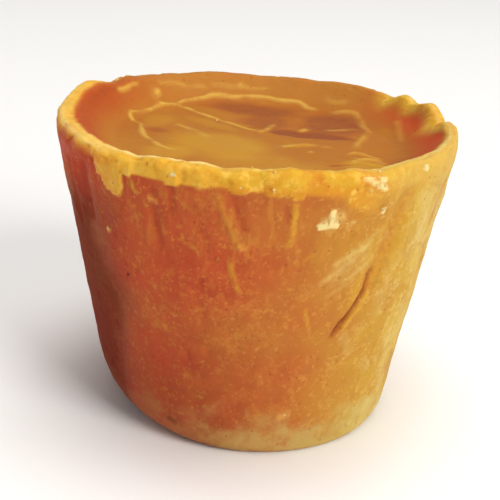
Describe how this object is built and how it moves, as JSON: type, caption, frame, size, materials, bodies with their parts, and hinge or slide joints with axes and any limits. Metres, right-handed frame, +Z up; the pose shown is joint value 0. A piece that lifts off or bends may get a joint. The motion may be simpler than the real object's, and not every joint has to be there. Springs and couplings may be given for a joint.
{
  "type": "jaggery block",
  "caption": "Solid cane sugar block cast in a bucket: tapered sides, flat base, thick raised rim round a sunken wrinkled top, creases and a long fold down one side.",
  "frame": {"origin": "centre of the block's bounding box, on the plane that the flat base rests on", "axes": "+Z up from the base to the rim; the front is towards -Y and the front's right is +X"},
  "size_m": [0.124, 0.1256, 0.0968],
  "materials": {
    "cast_jaggery": "waxy semi-matt cast sugar, slightly translucent, mottled orange to honey yellow, with a yellow rim and a glossier brown top skin",
    "pale_sugar": "matt pale crystal crumbs and scabs stuck to the surface"
  },
  "bodies": {
    "root": {"block": "cast_jaggery"}
  },
  "joints": []
}
